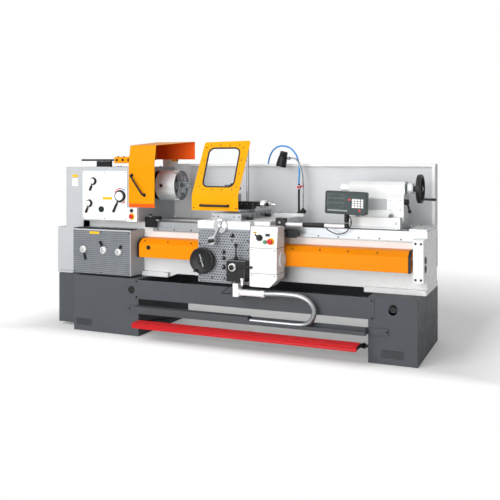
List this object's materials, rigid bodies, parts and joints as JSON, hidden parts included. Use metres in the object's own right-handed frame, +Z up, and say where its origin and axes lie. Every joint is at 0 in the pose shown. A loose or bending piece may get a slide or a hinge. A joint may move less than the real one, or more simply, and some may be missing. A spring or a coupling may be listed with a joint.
{
  "type": "metal lathe",
  "caption": "Engine lathe on two cabinets, with chuck guard, carriage and slides, tool shield, tailstock, covered lead screw and a foot brake bar along the front.",
  "frame": {"origin": "on the floor, at the centre of the four foundation bolt holes", "axes": "+X along the bed towards the tailstock, +Y to the rear, +Z up"},
  "size_m": [3.061, 1.053, 1.5191],
  "materials": {
    "cabinet_grey": "satin",
    "white_paint": "gloss",
    "light_grey_paint": "satin",
    "mid_grey_paint": "satin",
    "yellow_paint": "satin",
    "orange_paint": "satin",
    "red_paint": "satin",
    "ground_steel": "ground",
    "black_steel": "blackened",
    "bed_iron": "painted, ways ground",
    "chrome": "polished",
    "black_plastic": "matte",
    "white_plastic": "gloss",
    "red_plastic": "gloss",
    "green_plastic": "gloss",
    "readout_plastic": "matte",
    "motor_blue": "gloss",
    "blue_hose": "satin",
    "conduit_metal": "ribbed",
    "lamp_black": "black paint"
  },
  "bodies": {
    "frame": {"left_cabinet": "cabinet_grey", "right_cabinet": "cabinet_grey", "chip_tray": "cabinet_grey", "cable_trough": "cabinet_grey", "bed": "bed_iron", "way_fittings": "ground_steel", "headstock": "white_paint", "feed_box": "mid_grey_paint", "gear_cover": "light_grey_paint", "motor_cover": "cabinet_grey", "leadscrew_cover": "orange_paint", "splash_guard": "light_grey_paint", "headstock_fittings": "white_paint", "motor": "motor_blue", "cable_conduit": "conduit_metal", "coolant_hose": "blue_hose"},
    "spindle": {"spindle": "ground_steel", "chuck": "ground_steel"},
    "carriage": {"saddle": "white_paint", "apron": "mid_grey_paint", "control_box": "white_paint", "coolant_stand": "white_paint"},
    "brake_pedal": {"brake_pedal": "red_paint"},
    "motor_pulley": {"motor_pulley": "ground_steel"},
    "jaw_1": {"jaw_1": "ground_steel"},
    "jaw_2": {"jaw_2": "ground_steel"},
    "jaw_3": {"jaw_3": "ground_steel"},
    "lead_screw": {"lead_screw": "ground_steel"},
    "feed_rod": {"feed_rod": "ground_steel"},
    "chuck_guard": {"chuck_guard": "yellow_paint"},
    "speed_lever_upper": {"speed_lever_upper": "black_plastic"},
    "speed_lever_lower": {"speed_lever_lower": "black_plastic"},
    "range_lever": {"range_lever": "black_plastic"},
    "feed_lever_left": {"feed_lever_left": "white_plastic"},
    "feed_lever_middle": {"feed_lever_middle": "white_plastic"},
    "feed_lever_right": {"feed_lever_right": "white_plastic"},
    "headstock_estop": {"headstock_estop": "red_plastic"},
    "jog_button": {"jog_button": "black_plastic"},
    "cross_slide": {"cross_slide": "mid_grey_paint"},
    "cross_crank": {"cross_crank": "chrome"},
    "compound_base": {"compound_base": "black_steel"},
    "top_slide": {"top_slide": "black_steel"},
    "top_crank": {"top_crank": "chrome"},
    "tool_post": {"tool_post": "ground_steel"},
    "post_lever": {"post_lever": "black_steel"},
    "tool_shield": {"tool_shield": "yellow_paint"},
    "apron_wheel": {"apron_wheel": "black_plastic"},
    "feed_joystick": {"feed_joystick": "black_plastic"},
    "half_nut_lever": {"half_nut_lever": "white_plastic"},
    "selector_switch": {"selector_switch": "black_plastic"},
    "start_button": {"start_button": "green_plastic"},
    "panel_estop": {"panel_estop": "red_plastic"},
    "readout_arm": {"readout_arm": "white_paint"},
    "readout": {"readout": "readout_plastic"},
    "lamp_head": {"lamp_head": "lamp_black"},
    "valve_handle": {"valve_handle": "red_plastic"},
    "tailstock": {"tailstock": "white_paint"},
    "tailstock_quill": {"tailstock_quill": "ground_steel"},
    "tailstock_wheel": {"tailstock_wheel": "black_plastic"},
    "tailstock_lever": {"tailstock_lever": "black_steel"}
  },
  "joints": [
    {"name": "carriage_slide", "type": "slide", "parent": "frame", "child": "carriage", "axis": [1, 0, 0], "range_m": [-0.28, 0.38], "deforming": ["cable_conduit", "coolant_hose"]},
    {"name": "guard_swing", "type": "hinge", "parent": "frame", "child": "chuck_guard", "pos_m": [-0.79, 0.19, 1.366], "axis": [1, 0, 0], "range_deg": [-80, 0]},
    {"name": "shield_swing", "type": "hinge", "parent": "cross_slide", "child": "tool_shield", "pos_m": [-0.118, -0.15, 1.482], "axis": [1, 0, 0], "range_deg": [-95, 0]},
    {"name": "cross_slide_travel", "type": "slide", "parent": "carriage", "child": "cross_slide", "axis": [0, 1, 0], "range_m": [-0.06, 0.13]},
    {"name": "compound_swivel", "type": "hinge", "parent": "cross_slide", "child": "compound_base", "pos_m": [-0.045, -0.06, 0.99], "axis": [0, 0, 1], "range_deg": [-45, 45]},
    {"name": "top_slide_travel", "type": "slide", "parent": "compound_base", "child": "top_slide", "axis": [1, 0, 0], "range_m": [-0.05, 0.06]},
    {"name": "tool_post_turn", "type": "hinge", "parent": "top_slide", "child": "tool_post", "pos_m": [-0.128, -0.06, 1.09], "axis": [0, 0, 1], "range_deg": [-90, 90]},
    {"name": "tailstock_slide", "type": "slide", "parent": "frame", "child": "tailstock", "axis": [1, 0, 0], "range_m": [-0.1, 0.05]},
    {"name": "quill_slide", "type": "slide", "parent": "tailstock", "child": "tailstock_quill", "axis": [-1, 0, 0], "range_m": [0, 0.15]},
    {"name": "readout_swing", "type": "hinge", "parent": "carriage", "child": "readout_arm", "pos_m": [0.374, -0.3, 0.9], "axis": [0, 0, 1], "range_deg": [-35, 0]},
    {"name": "readout_turn", "type": "hinge", "parent": "readout_arm", "child": "readout", "pos_m": [0.864, -0.3, 1], "axis": [0, 0, 1], "range_deg": [-30, 30]},
    {"name": "lamp_tilt", "type": "hinge", "parent": "carriage", "child": "lamp_head", "pos_m": [0.232, 0.25, 1.38], "axis": [0, 1, 0], "range_deg": [-30, 30]},
    {"name": "brake_press", "type": "hinge", "parent": "frame", "child": "brake_pedal", "pos_m": [0.14, -0.38, 0.105], "axis": [1, 0, 0], "range_deg": [0, 10], "stiffness_Nm_per_rad": 120, "springref_deg": -28.65},
    {"name": "spindle_turn", "type": "hinge", "parent": "frame", "child": "spindle", "pos_m": [-0.8, 0, 1.159], "axis": [1, 0, 0], "continuous": true},
    {"name": "jaw_1_slide", "type": "slide", "parent": "spindle", "child": "jaw_1", "axis": [0, -0.5, 0.866], "range_m": [-0.01, 0.01]},
    {"name": "jaw_2_slide", "type": "slide", "parent": "spindle", "child": "jaw_2", "axis": [0, -0.5, -0.866], "range_m": [-0.01, 0.01]},
    {"name": "jaw_3_slide", "type": "slide", "parent": "spindle", "child": "jaw_3", "axis": [0, 1, 0], "range_m": [-0.01, 0.01]},
    {"name": "cross_crank_turn", "type": "hinge", "parent": "carriage", "child": "cross_crank", "pos_m": [-0.045, -0.45, 0.884], "axis": [0, 1, 0], "range_deg": [-4320, 9360]},
    {"name": "top_crank_turn", "type": "hinge", "parent": "top_slide", "child": "top_crank", "pos_m": [0.128, -0.06, 1.028], "axis": [1, 0, 0], "range_deg": [-4500, 5400]},
    {"name": "apron_wheel_turn", "type": "hinge", "parent": "carriage", "child": "apron_wheel", "pos_m": [-0.186, -0.45, 0.626], "axis": [0, 1, 0], "range_deg": [-540, 730]},
    {"name": "tailstock_wheel_turn", "type": "hinge", "parent": "tailstock", "child": "tailstock_wheel", "pos_m": [1.32, 0, 1.159], "axis": [-1, 0, 0], "range_deg": [0, 10800]},
    {"name": "tailstock_lever_turn", "type": "hinge", "parent": "tailstock", "child": "tailstock_lever", "pos_m": [1.22, -0.062, 1.066], "axis": [1, 0, 0], "range_deg": [-30, 40]},
    {"name": "speed_lever_upper_turn", "type": "hinge", "parent": "frame", "child": "speed_lever_upper", "pos_m": [-1.255, -0.305, 1.195], "axis": [0, 1, 0], "range_deg": [-40, 40]},
    {"name": "speed_lever_lower_turn", "type": "hinge", "parent": "frame", "child": "speed_lever_lower", "pos_m": [-1.294, -0.305, 1.015], "axis": [0, 1, 0], "range_deg": [-40, 40]},
    {"name": "range_lever_turn", "type": "hinge", "parent": "frame", "child": "range_lever", "pos_m": [-0.995, -0.305, 1.078], "axis": [0, 1, 0], "range_deg": [-40, 40]},
    {"name": "half_nut_turn", "type": "hinge", "parent": "carriage", "child": "half_nut_lever", "pos_m": [0.085, -0.504, 0.6], "axis": [0, 1, 0], "range_deg": [-25, 20]},
    {"name": "joystick_tilt", "type": "hinge", "parent": "carriage", "child": "feed_joystick", "pos_m": [0.1, -0.482, 0.6594], "axis": [1, 0, 0], "range_deg": [-15, 15]},
    {"name": "post_lever_turn", "type": "hinge", "parent": "tool_post", "child": "post_lever", "pos_m": [-0.128, -0.06, 1.18], "axis": [0, 0, 1], "range_deg": [-60, 60]},
    {"name": "valve_turn", "type": "hinge", "parent": "carriage", "child": "valve_handle", "pos_m": [0.316, 0.234, 1.15], "axis": [0, 1, 0], "range_deg": [0, 90]},
    {"name": "selector_turn", "type": "hinge", "parent": "carriage", "child": "selector_switch", "pos_m": [0.288, -0.506, 0.817], "axis": [0, 1, 0], "range_deg": [-45, 45]},
    {"name": "feed_lever_left_turn", "type": "hinge", "parent": "frame", "child": "feed_lever_left", "pos_m": [-1.277, -0.404, 0.652], "axis": [0, 1, 0], "range_deg": [-35, 35]},
    {"name": "feed_lever_middle_turn", "type": "hinge", "parent": "frame", "child": "feed_lever_middle", "pos_m": [-1.085, -0.404, 0.654], "axis": [0, 1, 0], "range_deg": [-35, 35]},
    {"name": "feed_lever_right_turn", "type": "hinge", "parent": "frame", "child": "feed_lever_right", "pos_m": [-0.944, -0.404, 0.645], "axis": [0, 1, 0], "range_deg": [-35, 35]},
    {"name": "headstock_estop_press", "type": "slide", "parent": "frame", "child": "headstock_estop", "axis": [0, 1, 0], "range_m": [0, 0.004], "stiffness_N_per_m": 400, "springref_m": -0.002},
    {"name": "jog_press", "type": "slide", "parent": "frame", "child": "jog_button", "axis": [0, 1, 0], "range_m": [0, 0.004], "stiffness_N_per_m": 400, "springref_m": -0.002},
    {"name": "start_press", "type": "slide", "parent": "carriage", "child": "start_button", "axis": [0, 1, 0], "range_m": [0, 0.004], "stiffness_N_per_m": 400, "springref_m": -0.002},
    {"name": "panel_estop_press", "type": "slide", "parent": "carriage", "child": "panel_estop", "axis": [0, 1, 0], "range_m": [0, 0.004], "stiffness_N_per_m": 400, "springref_m": -0.002},
    {"name": "motor_pulley_turn", "type": "hinge", "parent": "frame", "child": "motor_pulley", "pos_m": [-1.45, 0.06, 0.25], "axis": [1, 0, 0], "continuous": true},
    {"name": "lead_screw_turn", "type": "hinge", "parent": "frame", "child": "lead_screw", "pos_m": [0.2, -0.27, 0.69], "axis": [1, 0, 0], "continuous": true},
    {"name": "feed_rod_turn", "type": "hinge", "parent": "frame", "child": "feed_rod", "pos_m": [0.2, -0.27, 0.632], "axis": [1, 0, 0], "continuous": true}
  ],
  "couplings": [
    {"joint": "jaw_2_slide", "follows": "jaw_1_slide", "ratio": 1},
    {"joint": "jaw_3_slide", "follows": "jaw_1_slide", "ratio": 1},
    {"joint": "motor_pulley_turn", "follows": "spindle_turn", "ratio": 1.7333},
    {"joint": "lead_screw_turn", "follows": "spindle_turn", "ratio": 0.5},
    {"joint": "feed_rod_turn", "follows": "spindle_turn", "ratio": 0.25},
    {"joint": "apron_wheel_turn", "follows": "carriage_slide", "rad_per_m": 33.333},
    {"joint": "cross_slide_travel", "follows": "cross_crank_turn", "m_per_rad": 0.00079577},
    {"joint": "top_slide_travel", "follows": "top_crank_turn", "m_per_rad": 0.00063662},
    {"joint": "quill_slide", "follows": "tailstock_wheel_turn", "m_per_rad": 0.00079577}
  ]
}
